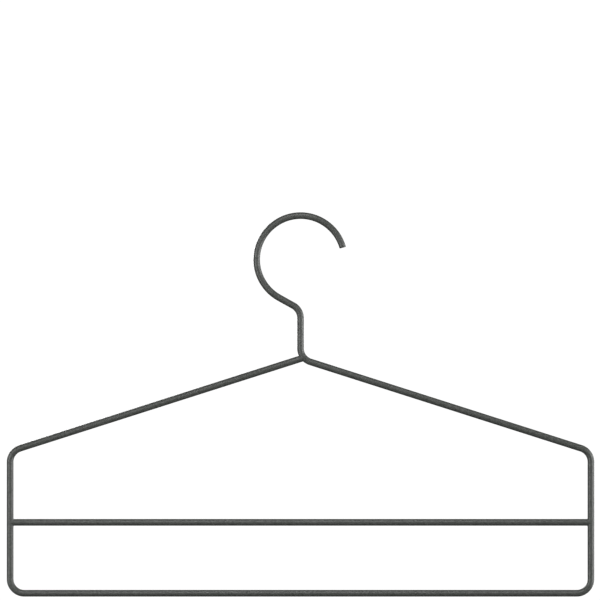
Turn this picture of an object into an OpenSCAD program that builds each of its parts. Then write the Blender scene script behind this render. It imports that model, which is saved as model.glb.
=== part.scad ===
// Trouser hanger of round steel wire under a dark grey powder coat.
// One long wire is bent into the hook, the neck, the right shoulder, the right side,
// the bottom, the left side and the left shoulder, whose end is welded back onto the neck's
// foot. A second, straight wire crosses the frame as the trouser bar and is welded at both ends.
// Lengths are in millimetres and angles in degrees. X runs along the shoulders and Z is up.
// The hanger lies flat in the plane Y = 0. Its origin is the seat, the highest point
// inside the hook, which rests on the rail.

/* [Wire] */
// Diameter of the long wire, coating included
wire_d = 5; // [4:0.1:6]
// Radius of the neck's bends and the frame's corners, to the wire's axis
bend_r = 10.5; // [8:0.5:14]

/* [Frame] */
// Width over the outsides of the two sides
frame_w = 435; // [380:5:480]
// Height of a side, from the bottom's axis up to where the axes of side and shoulder cross
side_h = 105; // [90:1:130]
// Fall of the shoulders below level
shoulder_slope = 17.7; // [12:0.1:24]

/* [Hook] */
// Inside diameter of the hook
hook_d = 60; // [50:1:70]
// Height of the hook's centre above the point where the axes of neck and shoulders cross
hook_rise = 73.5; // [68:0.5:90]
// Fall of the short straight between hook and neck
lead_slope = 29; // [22:1:36]
// Height of the hook's open end round its circle, measured up from level
tip_angle = 15.5; // [0:0.5:40]
// Bevel round the edge of the open end
tip_bevel = 0.5; // [0.2:0.1:1]

/* [Trouser bar] */
// Diameter of the trouser bar, coating included
bar_d = 5; // [4:0.1:6]
// Height of the bar's axis above the bottom's axis
bar_rise = 52.5; // [40:0.5:65]

/* [Welds] */
// Gap that weld metal fills between a square wire end and the wire that it meets
weld_gap = 0.3; // [0.2:0.1:0.6]
// Leg of the small fillets in the corners of a weld
weld_leg = 0.8; // [0.5:0.1:1.2]

/* [Hidden] */
$fn = 64;

coat = [0.34, 0.35, 0.34];
wire_r = wire_d / 2;
bar_r = bar_d / 2;

// A bend draws the wire down a hair, and each straight runs a little way into the bends beside it
bend_thinning = 0.02;
lap = 0.1;

// Places in the hanger's plane, as [x, z]
hook_r = hook_d / 2 + wire_r;
hook_centre = [0, -hook_d / 2];
hook_end = hook_centre - hook_r * [sin(lead_slope), cos(lead_slope)];
neck_top = hook_centre - [0, hook_r / cos(lead_slope)];
apex = hook_centre - [0, hook_rise];
side_x = frame_w / 2 - wire_r;
top_z = apex.y - side_x * tan(shoulder_slope);
bottom_z = top_z - side_h;
bar_z = bottom_z + bar_rise;

// The neck's foot seen along the left shoulder, whose axis is X and meets the neck's at 0:
// the bend's centre, the square end of the shoulder, and how deep the end points into the bend
foot_setback = bend_r * tan((90 - shoulder_slope) / 2);
foot = [bend_r * cos(shoulder_slope) + foot_setback * sin(shoulder_slope),
        foot_setback * cos(shoulder_slope) - bend_r * sin(shoulder_slope)];
shoulder_back = beside_foot(wire_r, weld_gap);

// Corners of the long wire's axis from the hook's end to the end of the left shoulder
corners = [
    hook_end,
    neck_top,
    apex,
    [side_x, top_z],
    [side_x, bottom_z],
    [-side_x, bottom_z],
    [-side_x, top_z],
    apex + shoulder_back * [cos(shoulder_slope), sin(shoulder_slope)]
];
last = len(corners) - 1;

// Where a line along the left shoulder, offset above its axis, comes within gap of the bent foot
function beside_foot(offset, gap) =
    foot.x - sqrt(pow(bend_r + wire_r + gap, 2) - pow(foot.y - offset, 2));

// Direction of the foot's round outside where that line meets it
function foot_tangent(offset) =
    180 + atan2(foot.y - offset, foot.x - beside_foot(offset, 0)) + (offset > 0 ? -90 : 90);

function within_half_turn(angle) = angle - 360 * round(angle / 360);
function heading(i) = atan2(corners[i + 1].y - corners[i].y, corners[i + 1].x - corners[i].x);
function turn(i) = within_half_turn(heading(i) - heading(i - 1));
function setback(i) = i == 0 || i == last ? 0 : bend_r * tan(abs(turn(i)) / 2);

// Stands a shape drawn in X and Y upright, in the plane of the hanger
module upright() {
    rotate([90, 0, 0]) children();
}

// Round rod along X from one place to another
module rod(from, to, radius) {
    translate([from, 0, 0]) rotate([0, 90, 0]) cylinder(r = radius, h = to - from);
}

// Part of a ring of wire round the origin
module ring_part(radius, start, sweep) {
    rotate([0, 0, start]) rotate_extrude(angle = sweep)
        translate([radius, 0]) circle(r = wire_r - bend_thinning);
}

// Straight of the long wire after corner i
module straight(i) {
    from = setback(i) - lap;
    to = norm(corners[i + 1] - corners[i]) - setback(i + 1) + (i + 1 == last ? 0 : lap);
    translate(corners[i]) rotate([0, 0, heading(i)]) rod(from, to, wire_r);
}

// Bend of the long wire round corner i
module bend(i) {
    side = sign(turn(i));
    middle = heading(i - 1) + turn(i) / 2 + 90 * side;
    translate(corners[i] + bend_r / cos(turn(i) / 2) * [cos(middle), sin(middle)])
        ring_part(bend_r, middle + 180 - abs(turn(i)) / 2, abs(turn(i)));
}

// Round of the hook, and its open end with the edge bevelled
module hook_round() {
    bevel_turn = asin(tip_bevel / hook_r);
    start = tip_angle + bevel_turn;
    translate(hook_centre) {
        ring_part(hook_r, start, 270 - lead_slope - start);
        rotate([0, 0, start]) translate([hook_r, 0, 0]) rotate([0, 0, 90]) {
            rod(0, lap, wire_r);
            rotate([0, -90, 0]) cylinder(r1 = wire_r, r2 = wire_r - tip_bevel, h = tip_bevel);
        }
    }
}

// Fillet in the corner of a weld between two directions, with its round back along the corner
module weld_fillet(corner, from, to) {
    middle = (from + to) / 2;
    back_r = 0.8 * min(wire_r, bar_r);
    reach = weld_leg * cos((to - from) / 2);
    translate(corner) rotate([0, 0, middle]) translate([reach - back_r, 0, 0]) rotate([90, 0, 0])
        cylinder(r = back_r, h = 2.4 * weld_leg, center = true);
}

// Weld metal in front of a square end at X = end, reaching to X = deep inside the wire that it
// meets, with a fillet above and one below. The rod that ends there is cut away.
module weld_metal(end, deep, radius, above, above_from, below, below_to) {
    difference() {
        union() {
            rod(end, deep, radius);
            weld_fillet(above, above_from, 180);
            weld_fillet(below, 180, below_to);
        }
        rod(end - 4 * weld_leg, end, radius);
    }
}

module hook_frame_wire() {
    color(coat) upright() {
        hook_round();
        for (i = [0 : last - 1]) straight(i);
        for (i = [1 : last - 1]) bend(i);
    }
}

module trouser_bar() {
    reach = side_x - wire_r - weld_gap;
    color(coat) upright() translate([0, bar_z]) rod(-reach, reach, bar_r);
}

module apex_weld() {
    deep = 0.8 * (foot.x - sqrt(pow(bend_r, 2) - pow(foot.y, 2)));
    color(coat) upright() difference() {
        translate(apex) rotate([0, 0, shoulder_slope])
            weld_metal(shoulder_back, deep, wire_r,
                [beside_foot(wire_r, 0), wire_r], foot_tangent(wire_r),
                [beside_foot(-wire_r, 0), -wire_r], foot_tangent(-wire_r));
        bend(2);
    }
}

module bar_weld() {
    upright() translate([side_x - wire_r, bar_z]) difference() {
        weld_metal(-weld_gap, 0.8 * wire_r, bar_r, [0, bar_r], 90, [0, -bar_r], 270);
        translate([wire_r, 0]) rotate([0, 0, 90]) rod(-4 * bar_r, 4 * bar_r, wire_r);
    }
}

module bar_weld_left() {
    color(coat) mirror([1, 0, 0]) bar_weld();
}

module bar_weld_right() {
    color(coat) bar_weld();
}

hook_frame_wire();
trouser_bar();
apex_weld();
bar_weld_left();
bar_weld_right();
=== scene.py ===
"""The looks of a trouser hanger: two welded steel wires under a dark grey, fine-textured powder coat.

The hanger lies flat in the plane Y = 0 and hangs from the seat of its hook, which is the frame's origin.
Lengths are in metres. Each packed wire and weld is replaced by a finished piece of the same size, and the
whole is lit and looked at squarely from the front.
"""

import logging
import math
from dataclasses import dataclass, field
from enum import Enum

import bmesh
import bpy
from mathutils import Matrix, Vector

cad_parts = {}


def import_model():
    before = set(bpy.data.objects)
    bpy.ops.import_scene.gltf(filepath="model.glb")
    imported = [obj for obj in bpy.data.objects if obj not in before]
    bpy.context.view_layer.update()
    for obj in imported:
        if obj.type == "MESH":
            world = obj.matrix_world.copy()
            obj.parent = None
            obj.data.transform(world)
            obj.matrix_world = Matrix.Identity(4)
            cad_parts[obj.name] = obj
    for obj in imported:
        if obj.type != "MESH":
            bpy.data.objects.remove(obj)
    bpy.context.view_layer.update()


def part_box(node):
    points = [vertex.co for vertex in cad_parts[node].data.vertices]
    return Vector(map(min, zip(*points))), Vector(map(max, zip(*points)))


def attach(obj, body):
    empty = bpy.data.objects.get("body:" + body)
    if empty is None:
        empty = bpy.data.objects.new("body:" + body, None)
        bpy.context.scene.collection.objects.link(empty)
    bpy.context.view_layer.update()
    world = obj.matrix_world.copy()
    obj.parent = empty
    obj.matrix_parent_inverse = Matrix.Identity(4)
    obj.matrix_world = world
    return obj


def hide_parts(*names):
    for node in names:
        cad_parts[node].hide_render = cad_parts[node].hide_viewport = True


LOG = logging.getLogger("trouser_hanger")

MM = 0.001
ACROSS = Vector((0, 1, 0))
# Edges that turn further than this stay sharp, and points nearer than this are one
SMOOTH_LIMIT = math.radians(40)
SAME_POINT = 0.002 * MM


class Side(Enum):
    """A side of the hanger, as the sign of X there."""

    LEFT = -1
    RIGHT = 1


def in_plane(angle: float) -> Vector:
    """The unit vector in the hanger's plane at an angle in radians, measured from +X towards +Z."""
    return Vector((math.cos(angle), 0, math.sin(angle)))


def facing(direction: Vector) -> Matrix:
    """The turn that stands a flat ring square to a direction in the hanger's plane.

    Args:
        direction: The unit vector that the ring's own Z axis is turned to.

    Returns:
        A 4x4 rotation that takes the ring's own X axis to the frame's Y axis.
    """
    return Matrix((ACROSS, direction.cross(ACROSS), direction)).transposed().to_4x4()


def edges_within(verts: list[bmesh.types.BMVert]) -> list[bmesh.types.BMEdge]:
    """The edges that join points of a ring with one another.

    Args:
        verts: The ring's points.

    Returns:
        The ring's edges, without those that lead away from it.
    """
    points = set(verts)
    edges = dict.fromkeys(edge for vert in verts for edge in vert.link_edges)
    return [edge for edge in edges if points.issuperset(edge.verts)]


def smooth_by_angle(shape: bmesh.types.BMesh) -> None:
    """Shades a shape smooth, with its edges kept sharp where the faces turn too far.

    Args:
        shape: The shape, with its normals already right.
    """
    for face in shape.faces:
        face.smooth = True
    for edge in shape.edges:
        edge.smooth = edge.is_manifold and edge.calc_face_angle(0) < SMOOTH_LIMIT


def finished_object(name: str, shape: bmesh.types.BMesh) -> bpy.types.Object:
    """Turns a shape into an object at the origin, with its place in its mesh.

    Args:
        name: The piece's name.
        shape: The finished shape, which is freed.

    Returns:
        The new object, linked to the scene.
    """
    bmesh.ops.recalc_face_normals(shape, faces=shape.faces)
    smooth_by_angle(shape)
    mesh = bpy.data.meshes.new(name)
    shape.to_mesh(mesh)
    shape.free()
    piece = bpy.data.objects.new(name, mesh)
    bpy.context.scene.collection.objects.link(piece)
    return piece


class ColourMix:
    """A colour mix node in a node tree, with its colour sockets at hand."""

    def __init__(self, tree: bpy.types.NodeTree, blend: str) -> None:
        """Adds the node.

        Args:
            tree: The node tree that it is added to.
            blend: The blend type.
        """
        node = tree.nodes.new("ShaderNodeMix")
        node.data_type = "RGBA"
        node.blend_type = blend
        self.factor = node.inputs["Factor"]
        self.below, self.above = (s for s in node.inputs if s.type == "RGBA")
        self.result = next(s for s in node.outputs if s.type == "RGBA")


class CoatGrain:
    """The node group of the sandy texture that every finish of the hanger shares, with painted shade in
    the grain's hollows and painted highlight on its crests.
    """

    NAME = "powder_coat_grain"
    INPUTS = (
        ("Position", "NodeSocketVector"),
        ("Grains per metre", "NodeSocketFloat"),
        ("Clumps per metre", "NodeSocketFloat"),
        ("Clump share", "NodeSocketFloat"),
        ("Shaded hollow colour", "NodeSocketColor"),
        ("Lit crest colour", "NodeSocketColor"),
        ("Tint", "NodeSocketColor"),
        ("Rough low", "NodeSocketFloat"),
        ("Rough high", "NodeSocketFloat"),
    )
    OUTPUTS = (
        ("Color", "NodeSocketColor"),
        ("Roughness", "NodeSocketFloat"),
        ("Height", "NodeSocketFloat"),
    )
    # The scale of the slow drift of the coat's tone, per metre
    DRIFT = 45.0
    # The heights between which the coat goes from the painted shade of its hollows to the painted
    # highlight of its crests
    DEEP = 0.35
    RAISED = 0.68

    @classmethod
    def tree(cls) -> bpy.types.NodeTree:
        """The group's node tree, made the first time that a finish asks for it."""
        return bpy.data.node_groups.get(cls.NAME) or cls._make()

    @classmethod
    def _make(cls) -> bpy.types.NodeTree:
        """Builds the group: fine grains on wider clumps, with painted shade in their hollows and painted
        highlight on their crests, and a slow drift of tone over both.

        Returns:
            The new node tree.
        """
        tree = bpy.data.node_groups.new(cls.NAME, "ShaderNodeTree")
        for name, kind in cls.INPUTS:
            tree.interface.new_socket(name, in_out="INPUT", socket_type=kind)
        for name, kind in cls.OUTPUTS:
            tree.interface.new_socket(name, in_out="OUTPUT", socket_type=kind)
        nodes, links = tree.nodes, tree.links
        given = nodes.new("NodeGroupInput")
        made = nodes.new("NodeGroupOutput")

        grains = cls._noise(tree, given, "Grains per metre", detail=3.0, fineness=0.65)
        clumps = cls._noise(tree, given, "Clumps per metre", detail=1.0)
        drift = cls._noise(tree, given, cls.DRIFT, detail=1.0)

        height = nodes.new("ShaderNodeMix")
        links.new(given.outputs["Clump share"], height.inputs["Factor"])
        links.new(grains.outputs["Fac"], height.inputs["A"])
        links.new(clumps.outputs["Fac"], height.inputs["B"])
        links.new(height.outputs["Result"], made.inputs["Height"])

        lit_crest = nodes.new("ShaderNodeMapRange")
        lit_crest.inputs["From Min"].default_value = cls.DEEP
        lit_crest.inputs["From Max"].default_value = cls.RAISED
        links.new(height.outputs["Result"], lit_crest.inputs["Value"])

        # Painted shade in the grain's hollows and painted highlight on its crests
        tone = ColourMix(tree, "MIX")
        links.new(lit_crest.outputs["Result"], tone.factor)
        links.new(given.outputs["Shaded hollow colour"], tone.below)
        links.new(given.outputs["Lit crest colour"], tone.above)

        tinted = ColourMix(tree, "MULTIPLY")
        links.new(drift.outputs["Fac"], tinted.factor)
        links.new(tone.result, tinted.below)
        links.new(given.outputs["Tint"], tinted.above)
        links.new(tinted.result, made.inputs["Color"])

        # The same crest share also makes the crests glossier and the hollows rougher
        rough = nodes.new("ShaderNodeMapRange")
        links.new(lit_crest.outputs["Result"], rough.inputs["Value"])
        links.new(given.outputs["Rough high"], rough.inputs["To Min"])
        links.new(given.outputs["Rough low"], rough.inputs["To Max"])
        links.new(rough.outputs["Result"], made.inputs["Roughness"])
        return tree

    @staticmethod
    def _noise(
        tree: bpy.types.NodeTree,
        given: bpy.types.Node,
        scale: str | float,
        detail: float,
        fineness: float = 0.5,
    ) -> bpy.types.Node:
        """A noise over the piece's own place.

        Args:
            tree: The group's node tree.
            given: The group's input node.
            scale: The name of the input that sets the scale, or the scale itself.
            detail: How many finer octaves the noise has.
            fineness: How strong each finer octave is, as a share of the one before.

        Returns:
            The noise node, whose Fac runs from 0 to 1.
        """
        noise = tree.nodes.new("ShaderNodeTexNoise")
        noise.inputs["Detail"].default_value = detail
        noise.inputs["Roughness"].default_value = fineness
        tree.links.new(given.outputs["Position"], noise.inputs["Vector"])
        if isinstance(scale, str):
            tree.links.new(given.outputs[scale], noise.inputs["Scale"])
        else:
            noise.inputs["Scale"].default_value = scale
        return noise


@dataclass(frozen=True)
class PowderCoat:
    """A finish of matte, fine-textured powder coat.

    The colours are linear. Grain and clump are the widths of the texture's bumps, and relief is
    their height, all in metres.
    """

    name: str
    # Painted shade in the hollows of the grain and painted highlight on its crests, in linear colour
    shaded_hollow: tuple[float, float, float] = (0.050, 0.052, 0.049)
    lit_crest: tuple[float, float, float] = (0.122, 0.124, 0.120)
    tint: tuple[float, float, float] = (0.90, 0.97, 0.91)
    grain: float = 0.8 * MM
    clump: float = 1.6 * MM
    clump_share: float = 0.35
    relief: float = 0.12 * MM
    rough_low: float = 0.27
    rough_high: float = 0.42
    sheen: float = 0.5

    def material(self) -> bpy.types.Material:
        """The finish as a material, made the first time that a piece asks for it."""
        return bpy.data.materials.get(self.name) or self._make()

    def _make(self) -> bpy.types.Material:
        """Builds the material: the shared grain group drives colour, with its painted shade and
        highlight, and also roughness and relief.

        Returns:
            The new material.
        """
        material = bpy.data.materials.new(self.name)
        material.use_nodes = True
        nodes, links = material.node_tree.nodes, material.node_tree.links
        shader = nodes["Principled BSDF"]
        shader.inputs["Metallic"].default_value = 0.0
        shader.inputs["Specular IOR Level"].default_value = self.sheen

        place = nodes.new("ShaderNodeTexCoord")
        coat = nodes.new("ShaderNodeGroup")
        coat.node_tree = CoatGrain.tree()
        links.new(place.outputs["Object"], coat.inputs["Position"])
        settings = {
            "Grains per metre": 1 / self.grain,
            "Clumps per metre": 1 / self.clump,
            "Clump share": self.clump_share,
            "Shaded hollow colour": (*self.shaded_hollow, 1),
            "Lit crest colour": (*self.lit_crest, 1),
            "Tint": (*self.tint, 1),
            "Rough low": self.rough_low,
            "Rough high": self.rough_high,
        }
        for name, value in settings.items():
            coat.inputs[name].default_value = value

        bump = nodes.new("ShaderNodeBump")
        bump.inputs["Strength"].default_value = 1.0
        bump.inputs["Distance"].default_value = self.relief
        links.new(coat.outputs["Height"], bump.inputs["Height"])
        links.new(coat.outputs["Color"], shader.inputs["Base Color"])
        links.new(coat.outputs["Roughness"], shader.inputs["Roughness"])
        links.new(bump.outputs["Normal"], shader.inputs["Normal"])
        return material


# The coat on the drawn wires, and where it pools a little smoother over the welds
WIRE_COAT = PowderCoat("wire_powder_coat")
WELD_COAT = PowderCoat("weld_powder_coat", relief=0.1 * MM, rough_low=0.3)


@dataclass
class BentTube:
    """A round tube that grows from its first ring along straights and bends in the hanger's plane."""

    start: Vector
    heading: float
    radius: float
    sides: int = 48
    bend_step: float = math.radians(3)
    edge_steps: int = 4
    crown_insets: tuple[float, float] = (0.175, 0.3)

    def __post_init__(self) -> None:
        """Makes the first ring, closed by a flat end."""
        self.shape = bmesh.new()
        self.place = self.start.copy()
        direction = in_plane(self.heading)
        made = bmesh.ops.create_circle(
            self.shape,
            cap_ends=True,
            segments=self.sides,
            radius=self.radius,
            matrix=Matrix.Translation(self.place) @ facing(direction),
        )
        self.first = edges_within(made["verts"])
        self.ring = self.first

    def forward(self, length: float) -> None:
        """Draws the tube straight ahead.

        Args:
            length: How far the tube grows.
        """
        step = in_plane(self.heading) * length
        made = bmesh.ops.extrude_edge_only(self.shape, edges=self.ring)["geom"]
        verts = [item for item in made if isinstance(item, bmesh.types.BMVert)]
        bmesh.ops.translate(self.shape, verts=verts, vec=step)
        self.ring = edges_within(verts)
        self.place += step

    def bend(self, radius: float, turn: float) -> None:
        """Bends the tube round a former.

        Args:
            radius: The bend's radius, to the tube's axis.
            turn: The change of heading in radians, positive from +X towards +Z.
        """
        side = math.copysign(1, turn)
        centre = self.place + in_plane(self.heading + side * math.pi / 2) * radius
        made = bmesh.ops.spin(
            self.shape,
            geom=self.ring,
            cent=centre,
            axis=-ACROSS,
            angle=turn,
            steps=max(2, round(abs(turn) / self.bend_step)),
        )["geom_last"]
        self.ring = edges_within([item for item in made if isinstance(item, bmesh.types.BMVert)])
        self.heading += turn
        self.place = centre + in_plane(self.heading - side * math.pi / 2) * radius

    def close(self) -> None:
        """Closes the last ring with a flat end."""
        bmesh.ops.contextual_create(self.shape, geom=self.ring)

    def round_first_edge(self, width: float, crown: float) -> None:
        """Rounds the edge of the first end, as coat does over a sheared wire, and crowns its face.

        Args:
            width: How far the rounding reaches from the edge.
            crown: How far the middle of the face stands proud of its rim.
        """
        bmesh.ops.bevel(
            self.shape,
            geom=self.first,
            offset=width,
            affect="EDGES",
            segments=self.edge_steps,
            profile=0.5,
            material=-1,
        )
        face = max(self.shape.faces, key=lambda f: len(f.verts))
        rise = crown / len(self.crown_insets)
        for share in self.crown_insets:
            inset = share * self.radius
            bmesh.ops.inset_region(self.shape, faces=[face], thickness=inset, depth=rise)


@dataclass(frozen=True)
class FrameSizes:
    """The sizes that the wires and their welds share, to the wires' axes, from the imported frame."""

    wire_r: float
    bar_r: float
    side_x: float
    top_z: float
    bottom_z: float
    bar_z: float

    @classmethod
    def from_frame(cls) -> "FrameSizes":
        """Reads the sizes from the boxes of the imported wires.

        Returns:
            The sizes in metres.
        """
        low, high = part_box("hook_frame_wire")
        bar_low, bar_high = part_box("trouser_bar")
        wire_r = (high.y - low.y) / 2
        return cls(
            wire_r=wire_r,
            bar_r=(bar_high.y - bar_low.y) / 2,
            side_x=high.x - wire_r,
            top_z=high.z - wire_r,
            bottom_z=low.z + wire_r,
            bar_z=(bar_high.z + bar_low.z) / 2,
        )


@dataclass
class LongWire:
    """The wire that is bent into hook, neck, shoulders, sides and bottom."""

    sizes: FrameSizes
    hook_inside_r: float = 30 * MM
    hook_rise: float = 73.5 * MM
    lead_slope: float = math.radians(29)
    tip_angle: float = math.radians(15.5)
    shoulder_slope: float = math.radians(17.7)
    bend_r: float = 10.5 * MM
    tip_round: float = 0.55 * MM
    tip_crown: float = 0.12 * MM

    @property
    def hook_r(self) -> float:
        """The hook's radius, to the wire's axis, from its middle up to the frame's top."""
        return self.sizes.top_z - self.hook_centre.z

    @property
    def hook_centre(self) -> Vector:
        """The middle of the hook's round."""
        return Vector((0, 0, -self.hook_inside_r))

    @property
    def apex(self) -> Vector:
        """Where the axes of the neck and of the shoulders cross."""
        return self.hook_centre - Vector((0, 0, self.hook_rise))

    def setback(self, turn: float) -> float:
        """How far a bend of that turn starts before the corner of the axes."""
        return self.bend_r * math.tan(abs(turn) / 2)

    def build(self, end_gap: float) -> bpy.types.Object:
        """Bends the wire from the hook's open end to the end of the left shoulder.

        Args:
            end_gap: How far the last end stops short of the apex, along the shoulder's axis.

        Returns:
            The wire's object.
        """
        tip = self.hook_centre + in_plane(self.tip_angle) * self.hook_r
        wire = BentTube(tip, self.tip_angle + math.pi / 2, self.sizes.wire_r)
        self._hook_and_neck(wire)
        self._frame(wire, end_gap)
        wire.close()
        wire.round_first_edge(self.tip_round, self.tip_crown)
        return finished_object("coated_hook_frame_wire", wire.shape)

    def _hook_and_neck(self, wire: BentTube) -> None:
        """Draws the hook's round, its short straight and the neck, up to the end of the apex bend.

        Args:
            wire: The tube, at the hook's open end.
        """
        neck_turn = self.lead_slope - math.pi / 2
        foot_turn = math.pi / 2 - self.shoulder_slope
        lead = self.hook_r * math.tan(self.lead_slope)
        neck_top = self.hook_centre.z - self.hook_r / math.cos(self.lead_slope)
        neck = neck_top - self.apex.z
        wire.bend(self.hook_r, 1.5 * math.pi - self.lead_slope - self.tip_angle)
        wire.forward(lead - self.setback(neck_turn))
        wire.bend(self.bend_r, neck_turn)
        wire.forward(neck - self.setback(neck_turn) - self.setback(foot_turn))
        wire.bend(self.bend_r, foot_turn)

    def _frame(self, wire: BentTube, end_gap: float) -> None:
        """Draws both shoulders, both sides and the bottom, clockwise from the apex bend.

        Args:
            wire: The tube, at the end of the apex bend.
            end_gap: How far the last end stops short of the apex, along the shoulder's axis.
        """
        corner = self.shoulder_slope - math.pi / 2
        shoulder = self.sizes.side_x / math.cos(self.shoulder_slope)
        side_top = self.apex.z - self.sizes.side_x * math.tan(self.shoulder_slope)
        side = side_top - self.sizes.bottom_z - self.setback(corner) - self.bend_r
        wire.forward(shoulder - 2 * self.setback(corner))
        wire.bend(self.bend_r, corner)
        wire.forward(side)
        wire.bend(self.bend_r, -math.pi / 2)
        wire.forward(2 * (self.sizes.side_x - self.bend_r))
        wire.bend(self.bend_r, -math.pi / 2)
        wire.forward(side)
        wire.bend(self.bend_r, corner)
        wire.forward(shoulder - self.setback(corner) - end_gap)

    def dress(self, piece: bpy.types.Object) -> bpy.types.Object:
        """Coats the wire and puts it in its node's place."""
        return put_in_place(piece, "hook_frame_wire", WIRE_COAT)


@dataclass
class TrouserBar:
    """The straight wire across the frame that trousers fold over."""

    sizes: FrameSizes

    def build(self, end_gap: float) -> bpy.types.Object:
        """Draws the bar from the left side to the right.

        Args:
            end_gap: How far each end stops short of the side's axis.

        Returns:
            The bar's object.
        """
        reach = self.sizes.side_x - end_gap
        bar = BentTube(Vector((-reach, 0, self.sizes.bar_z)), 0, self.sizes.bar_r)
        bar.forward(2 * reach)
        bar.close()
        return finished_object("coated_trouser_bar", bar.shape)

    def dress(self, piece: bpy.types.Object) -> bpy.types.Object:
        """Coats the bar and puts it in its node's place."""
        return put_in_place(piece, "trouser_bar", WIRE_COAT)


@dataclass
class Weld:
    """The weld that joins a wire's square end to the flank of another wire.

    Its outside is the path of a ball that rolls along the corner between the two wires.
    """

    node: str
    corner: Vector
    outward: Vector
    end_r: float
    flank_r: float
    fillet: float = 0.5 * MM
    collar: float = 0.06 * MM
    overlap: float = 0.1 * MM
    sunk: float = 0.4 * MM
    sides: int = 64
    arc_steps: int = 7

    @property
    def upward(self) -> Vector:
        """The direction in the hanger's plane that is square to the ending wire."""
        upward = self.outward.cross(ACROSS)
        return upward if upward.z > 0 else -upward

    def ball_distance(self, angle: float) -> float:
        """How far along the ending wire the rolling ball's centre lies.

        Args:
            angle: The place round the ending wire, from its upper side.

        Returns:
            The distance from the corner of the two axes, outwards along the ending wire.
        """
        beside = (self.end_r + self.fillet) * math.sin(angle)
        return math.sqrt(max(0.0, (self.flank_r + self.fillet) ** 2 - beside**2))

    def flank_axis_near(self, point: Vector) -> Vector:
        """The place on the flank wire's axis that is nearest to a point near the weld."""
        return self.corner + self.upward * (point - self.corner).dot(self.upward)

    def plug_length(self) -> float:
        """How far from the corner the weld takes over from the ending wire."""
        reach = max(self.ball_distance(self._ring_angle(i)) for i in range(self.sides))
        return reach + self.overlap

    def _ring_angle(self, index: int) -> float:
        """The angle round the ending wire of one of the weld's sections."""
        return math.tau * index / self.sides

    def _section(self, angle: float) -> list[Vector]:
        """The weld's outside at an angle round the ending wire.

        Args:
            angle: The place round the ending wire, from its upper side.

        Returns:
            Points from a collar on the ending wire, over the hollow fillet and onto and into the flank.
        """
        spoke = self.upward * math.cos(angle) + ACROSS * math.sin(angle)
        ball = self.corner + self.outward * self.ball_distance(angle)
        ball += spoke * (self.end_r + self.fillet)
        axis_point = self.flank_axis_near(ball)
        to_flank = (axis_point - ball).normalized()
        arc = []
        for step in range(self.arc_steps + 1):
            direction = (-spoke).lerp(to_flank, step / self.arc_steps)
            arc.append(ball + direction.normalized() * self.fillet)
        return [arc[0] + self.outward * self.collar, *arc, arc[-1] + to_flank * self.sunk]

    def build(self) -> bpy.types.Object:
        """Grows the weld ring by ring from the ending wire into the flank.

        Returns:
            The weld's object.
        """
        shape = bmesh.new()
        start = self.corner + self.outward * self.plug_length()
        sections = [self._section(self._ring_angle(i)) for i in range(self.sides)]
        turn = Matrix((-ACROSS, self.upward, self.upward.cross(ACROSS))).transposed().to_4x4()
        ring = bmesh.ops.create_circle(
            shape,
            cap_ends=True,
            segments=self.sides,
            radius=self.end_r,
            matrix=Matrix.Translation(start) @ turn,
        )["verts"]
        for level in range(len(sections[0])):
            ring = self._next_ring(shape, ring)
            for vert, section in zip(ring, sections):
                vert.co = section[level]
        bmesh.ops.contextual_create(shape, geom=edges_within(ring))
        bmesh.ops.remove_doubles(shape, verts=shape.verts, dist=SAME_POINT)
        return finished_object("coated_" + self.node, shape)

    @staticmethod
    def _next_ring(
        shape: bmesh.types.BMesh, ring: list[bmesh.types.BMVert]
    ) -> list[bmesh.types.BMVert]:
        """Extrudes a ring.

        Args:
            shape: The shape that the ring belongs to.
            ring: The ring's points.

        Returns:
            The new ring's points, in the old one's order.
        """
        made = bmesh.ops.extrude_edge_only(shape, edges=edges_within(ring))["geom"]
        fresh = {item for item in made if isinstance(item, bmesh.types.BMVert)}
        follow = []
        for vert in ring:
            others = (edge.other_vert(vert) for edge in vert.link_edges)
            follow.append(next(other for other in others if other in fresh))
        return follow

    def dress(self, piece: bpy.types.Object) -> bpy.types.Object:
        """Coats the weld and puts it in its node's place."""
        return put_in_place(piece, self.node, WELD_COAT)


@dataclass
class ApexWeld(Weld):
    """The weld whose flank wire is the round bend at the neck's foot."""

    fillet: float = 0.35 * MM
    bend_centre: Vector = field(default_factory=Vector)
    bend_r: float = 0.0

    def ball_distance(self, angle: float) -> float:
        """How far along the shoulder the ball's centre lies when it also rests on the bend.

        Args:
            angle: The place round the shoulder, from its upper side.

        Returns:
            The distance from the corner of the two axes, outwards along the shoulder.
        """
        above = (self.end_r + self.fillet) * math.cos(angle)
        centre = self.bend_centre - self.corner
        reach = self.bend_r + super().ball_distance(angle)
        over = above - centre.dot(self.upward)
        return centre.dot(self.outward) + math.sqrt(reach**2 - over**2)

    def flank_axis_near(self, point: Vector) -> Vector:
        """The place on the bend's round axis that is nearest to a point.

        Args:
            point: A point near the weld.

        Returns:
            The place on the bend's axis.
        """
        spoke = point - self.bend_centre
        spoke.y = 0
        return self.bend_centre + spoke.normalized() * self.bend_r


def put_in_place(
    piece: bpy.types.Object, node: str, finish: PowderCoat
) -> bpy.types.Object:
    """Gives a piece its finish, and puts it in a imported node's place.

    Args:
        piece: The finished piece.
        node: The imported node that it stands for.
        finish: The coat that it wears.

    Returns:
        The same piece.
    """
    piece.data.materials.append(finish.material())
    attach(piece, "root")
    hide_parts(node)
    LOG.info("%s stands for %s: %d faces", piece.name, node, len(piece.data.polygons))
    return piece


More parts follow.
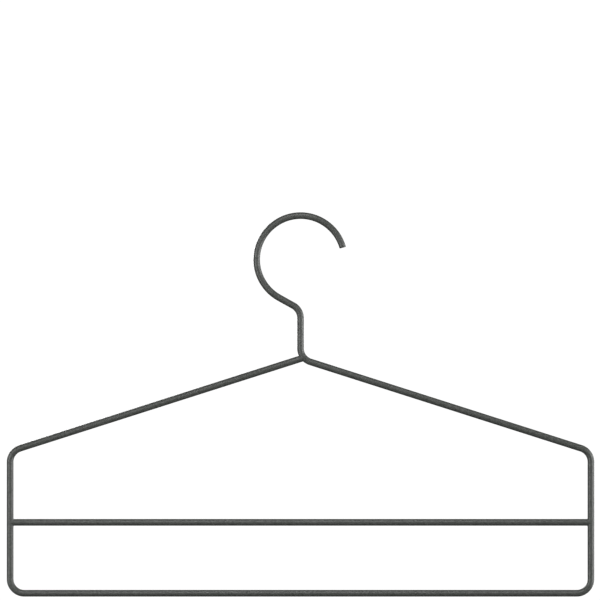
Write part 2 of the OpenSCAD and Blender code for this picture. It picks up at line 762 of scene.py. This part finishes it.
@dataclass
class Hanger:
    """The whole hanger: two wires and the three welds that join them."""

    sizes: FrameSizes

    def build(self) -> list[bpy.types.Object]:
        """Builds and dresses every piece. The wires end where their welds say.

        Returns:
            The dressed pieces.
        """
        wire = LongWire(self.sizes)
        bar = TrouserBar(self.sizes)
        apex = self._apex_weld(wire)
        bar_welds = [self._bar_weld(side) for side in Side]
        pieces = [wire.dress(wire.build(apex.plug_length()))]
        pieces.append(bar.dress(bar.build(bar_welds[0].plug_length())))
        pieces += [weld.dress(weld.build()) for weld in (apex, *bar_welds)]
        return pieces

    def _apex_weld(self, wire: LongWire) -> ApexWeld:
        """The weld between the left shoulder's end and the neck's foot.

        Args:
            wire: The long wire, which both the shoulder and the neck belong to.

        Returns:
            The weld, not yet built.
        """
        foot_turn = math.pi / 2 - wire.shoulder_slope
        setback = Vector((0, 0, wire.setback(foot_turn)))
        return ApexWeld(
            node="apex_weld",
            corner=wire.apex,
            outward=in_plane(wire.shoulder_slope + math.pi),
            end_r=self.sizes.wire_r,
            flank_r=self.sizes.wire_r,
            bend_centre=wire.apex + setback + Vector((wire.bend_r, 0, 0)),
            bend_r=wire.bend_r,
        )

    def _bar_weld(self, side: Side) -> Weld:
        """The weld between an end of the bar and a side.

        Args:
            side: The side that the bar is welded to.

        Returns:
            The weld, not yet built.
        """
        return Weld(
            node="bar_weld_" + side.name.lower(),
            corner=Vector((side.value * self.sizes.side_x, 0, self.sizes.bar_z)),
            outward=Vector((-side.value, 0, 0)),
            end_r=self.sizes.bar_r,
            flank_r=self.sizes.wire_r,
        )


@dataclass(frozen=True)
class Softbox:
    """A plain rectangular area light, which the camera doesn't see itself.

    Angles are in degrees round the point that it lights, from the front towards the right and up.
    """

    name: str
    azimuth: float
    elevation: float
    width: float
    height: float
    watts: float
    distance: float = 1.8

    def place(self, aim: Vector) -> None:
        """Hangs the light at its angle round a point, and turns it to that point.

        Args:
            aim: The point that it lights.
        """
        azimuth, elevation = math.radians(self.azimuth), math.radians(self.elevation)
        back = Vector((
            math.sin(azimuth) * math.cos(elevation),
            -math.cos(azimuth) * math.cos(elevation),
            math.sin(elevation),
        ))
        lamp = bpy.data.lights.new(self.name, "AREA")
        lamp.shape = "RECTANGLE"
        lamp.size = self.width
        lamp.size_y = self.height
        lamp.energy = self.watts
        light = bpy.data.objects.new(self.name, lamp)
        light.location = aim + back * self.distance
        light.rotation_euler = (-back).to_track_quat("-Z", "Y").to_euler()
        light.visible_camera = False
        bpy.context.scene.collection.objects.link(light)


@dataclass
class Studio:
    """The plain pale floor, the white surround and the soft lights."""

    aim: Vector
    floor_drop: float = 420 * MM
    floor_r: float = 3.0
    floor_sides: int = 96
    floor_colour: tuple[float, float, float] = (0.93, 0.93, 0.925)
    floor_rough: float = 0.9
    # The floor's painted glow at its middle, and the radii over which it grows to full
    floor_glow: float = 0.6
    floor_fade: tuple[float, float] = (0.7, 1.7)
    surround: float = 0.08
    seen_surround: float = 1.05
    lights: tuple[Softbox, ...] = (
        Softbox("softbox_right", 58, 0, width=0.4, height=1.6, watts=18.5),
        Softbox("softbox_right_edge", 88, 0, width=0.5, height=1.6, watts=16.0),
        Softbox("softbox_left", -49, 0, width=0.4, height=1.6, watts=18.0),
        Softbox("softbox_front", -12, 8, width=0.8, height=0.8, watts=3.0),
        Softbox("softbox_top", 0, 47, width=0.8, height=0.8, watts=9.0),
        Softbox("softbox_back_left", 207, 15, width=0.8, height=0.8, watts=16.0),
        Softbox("softbox_back_right", 132, 0, width=0.5, height=1.6, watts=10.0),
    )

    def build(self) -> None:
        """Sets up floor, surround and lights."""
        self._floor()
        self._surround()
        for light in self.lights:
            light.place(self.aim)
        bpy.context.scene.view_settings.view_transform = "Standard"

    def _floor(self) -> None:
        """Makes a wide pale disc so far below that it throws no light back on the hanging object."""
        shape = bmesh.new()
        bmesh.ops.create_circle(
            shape,
            cap_ends=True,
            segments=self.floor_sides,
            radius=self.floor_r,
            matrix=Matrix.Translation((0, 0, self.aim.z - self.floor_drop)),
        )
        floor = finished_object("floor", shape)
        floor.data.materials.append(self._floor_look())
        floor.visible_diffuse = False
        floor.visible_glossy = False

    def _floor_look(self) -> bpy.types.Material:
        """Makes the floor's pale material with a painted glow, weaker under the hanger and full at the
        rim, so that it fades out into the white surround.

        Returns:
            The new material.
        """
        material = bpy.data.materials.new("pale_floor")
        material.use_nodes = True
        nodes, links = material.node_tree.nodes, material.node_tree.links
        shader = nodes["Principled BSDF"]
        shader.inputs["Base Color"].default_value = (*self.floor_colour, 1)
        shader.inputs["Roughness"].default_value = self.floor_rough
        shader.inputs["Emission Strength"].default_value = self.seen_surround
        place = nodes.new("ShaderNodeTexCoord")
        reach = nodes.new("ShaderNodeVectorMath")
        reach.operation = "LENGTH"
        fade = nodes.new("ShaderNodeMapRange")
        fade.interpolation_type = "SMOOTHSTEP"
        fade.inputs["From Min"].default_value = self.floor_fade[0]
        fade.inputs["From Max"].default_value = self.floor_fade[1]
        fade.inputs["To Min"].default_value = self.floor_glow
        links.new(place.outputs["Object"], reach.inputs[0])
        links.new(reach.outputs["Value"], fade.inputs["Value"])
        # Painted glow: the floor lights itself, less in the middle and fully towards the rim
        links.new(fade.outputs["Result"], shader.inputs["Emission Color"])
        return material

    def _surround(self) -> None:
        """Lights the scene with an even surround, which the camera sees as plain white."""
        world = bpy.data.worlds.new("studio_surround")
        world.use_nodes = True
        nodes, links = world.node_tree.nodes, world.node_tree.links
        lighting = nodes["Background"]
        lighting.inputs["Color"].default_value = (1, 1, 1, 1)
        lighting.inputs["Strength"].default_value = self.surround
        seen = nodes.new("ShaderNodeBackground")
        seen.inputs["Color"].default_value = (1, 1, 1, 1)
        seen.inputs["Strength"].default_value = self.seen_surround
        ray = nodes.new("ShaderNodeLightPath")
        choice = nodes.new("ShaderNodeMixShader")
        links.new(ray.outputs["Is Camera Ray"], choice.inputs["Fac"])
        links.new(lighting.outputs["Background"], choice.inputs[1])
        links.new(seen.outputs["Background"], choice.inputs[2])
        links.new(choice.outputs["Shader"], nodes["World Output"].inputs["Surface"])
        bpy.context.scene.world = world


@dataclass
class FrontCamera:
    """A level camera with a long lens, square to the hanger.

    The lens follows from the width of the view at the hanger. Only the sensor is in millimetres.
    """

    middle_x: float = -0.4 * MM
    middle_z: float = -60.0 * MM
    view_width: float = 444.2 * MM
    distance: float = 2.5
    sensor: float = 36.0

    def place(self) -> None:
        """Makes the camera the scene's own."""
        data = bpy.data.cameras.new("front_camera")
        data.sensor_width = self.sensor
        data.lens = self.sensor * self.distance / self.view_width
        camera = bpy.data.objects.new("front_camera", data)
        camera.location = (self.middle_x, -self.distance, self.middle_z)
        camera.rotation_euler = (math.pi / 2, 0, 0)
        bpy.context.scene.collection.objects.link(camera)
        bpy.context.scene.camera = camera


def main() -> None:
    """Builds the hanger, then its studio and camera."""
    logging.basicConfig(level=logging.INFO, format="%(name)s: %(message)s")
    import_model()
    sizes = FrameSizes.from_frame()
    pieces = Hanger(sizes).build()
    Studio(aim=Vector((0, 0, sizes.bottom_z / 2))).build()
    FrontCamera().place()


if __name__ == "__main__":
    main()
